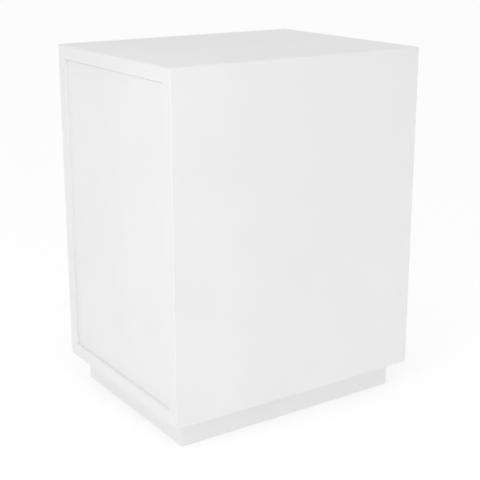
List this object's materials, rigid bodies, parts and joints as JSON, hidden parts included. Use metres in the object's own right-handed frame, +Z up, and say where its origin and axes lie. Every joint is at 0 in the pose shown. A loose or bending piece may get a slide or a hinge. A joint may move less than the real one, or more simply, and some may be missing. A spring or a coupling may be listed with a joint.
{
  "type": "display plinth",
  "caption": "Box-shaped display plinth of mitred white boards on a recessed kick base, with an inset lift-off access panel in its end and levelling feet below.",
  "frame": {"origin": "centre of the footprint, on the floor under the four foot pads", "axes": "+Z up; +X along the long side, away from the access panel; the plain front face looks along -Y"},
  "size_m": [0.51, 0.4, 0.65],
  "materials": {
    "lacquered_board": "satin white lacquer on medium-density fibreboard",
    "pine": "planed, unfinished",
    "birch_plywood": "sawn plywood",
    "beech": "turned, unfinished",
    "zinc_plated_steel": "bright zinc plate",
    "white_nylon": "moulded, fine texture",
    "black_nylon": "moulded, fine texture",
    "magnet": "dull sintered ferrite"
  },
  "bodies": {
    "carcass": {"top_panel": "lacquered_board", "front_panel": "lacquered_board", "rear_panel": "lacquered_board", "end_panel": "lacquered_board", "deck": "lacquered_board", "tongue_top_front": "birch_plywood", "tongue_top_rear": "birch_plywood", "tongue_top_end": "birch_plywood", "tongue_front_end": "birch_plywood", "tongue_rear_end": "birch_plywood", "deck_dowels": "beech", "corner_batten_front": "pine", "corner_batten_rear": "pine", "top_batten_front": "pine", "top_batten_rear": "pine", "top_batten_end": "pine", "batten_screws": "zinc_plated_steel", "stop_front": "pine", "stop_rear": "pine", "stop_top": "pine", "stop_bottom": "pine", "stop_screws": "zinc_plated_steel", "catch_front_upper": "white_nylon", "catch_front_lower": "white_nylon", "catch_rear_upper": "white_nylon", "catch_rear_lower": "white_nylon", "catch_magnets": "magnet", "catch_poles": "zinc_plated_steel", "catch_screws": "zinc_plated_steel", "locating_pins": "zinc_plated_steel", "kick_front": "lacquered_board", "kick_rear": "lacquered_board", "kick_left": "lacquered_board", "kick_right": "lacquered_board", "kick_stretcher": "pine", "stretcher_dowels": "beech", "block_front_left": "pine", "block_front_right": "pine", "block_rear_left": "pine", "block_rear_right": "pine", "block_screws": "zinc_plated_steel", "base_screws": "zinc_plated_steel", "tee_nuts": "zinc_plated_steel"},
    "access_panel": {"access_panel": "lacquered_board", "strike_plates": "zinc_plated_steel", "strike_screws": "zinc_plated_steel", "pin_bushes": "white_nylon"},
    "foot_front_left": {"pad_front_left": "black_nylon", "stem_front_left": "zinc_plated_steel"},
    "foot_front_right": {"pad_front_right": "black_nylon", "stem_front_right": "zinc_plated_steel"},
    "foot_rear_left": {"pad_rear_left": "black_nylon", "stem_rear_left": "zinc_plated_steel"},
    "foot_rear_right": {"pad_rear_right": "black_nylon", "stem_rear_right": "zinc_plated_steel"}
  },
  "joints": [
    {"name": "access_panel_pull", "type": "slide", "parent": "carcass", "child": "access_panel", "axis": [-1, 0, 0], "range_m": [0, 0.2]},
    {"name": "foot_front_left_screw", "type": "slide", "parent": "carcass", "child": "foot_front_left", "axis": [0, 0, -1], "range_m": [0, 0.012]},
    {"name": "foot_front_right_screw", "type": "slide", "parent": "carcass", "child": "foot_front_right", "axis": [0, 0, -1], "range_m": [0, 0.012]},
    {"name": "foot_rear_left_screw", "type": "slide", "parent": "carcass", "child": "foot_rear_left", "axis": [0, 0, -1], "range_m": [0, 0.012]},
    {"name": "foot_rear_right_screw", "type": "slide", "parent": "carcass", "child": "foot_rear_right", "axis": [0, 0, -1], "range_m": [0, 0.012]}
  ]
}
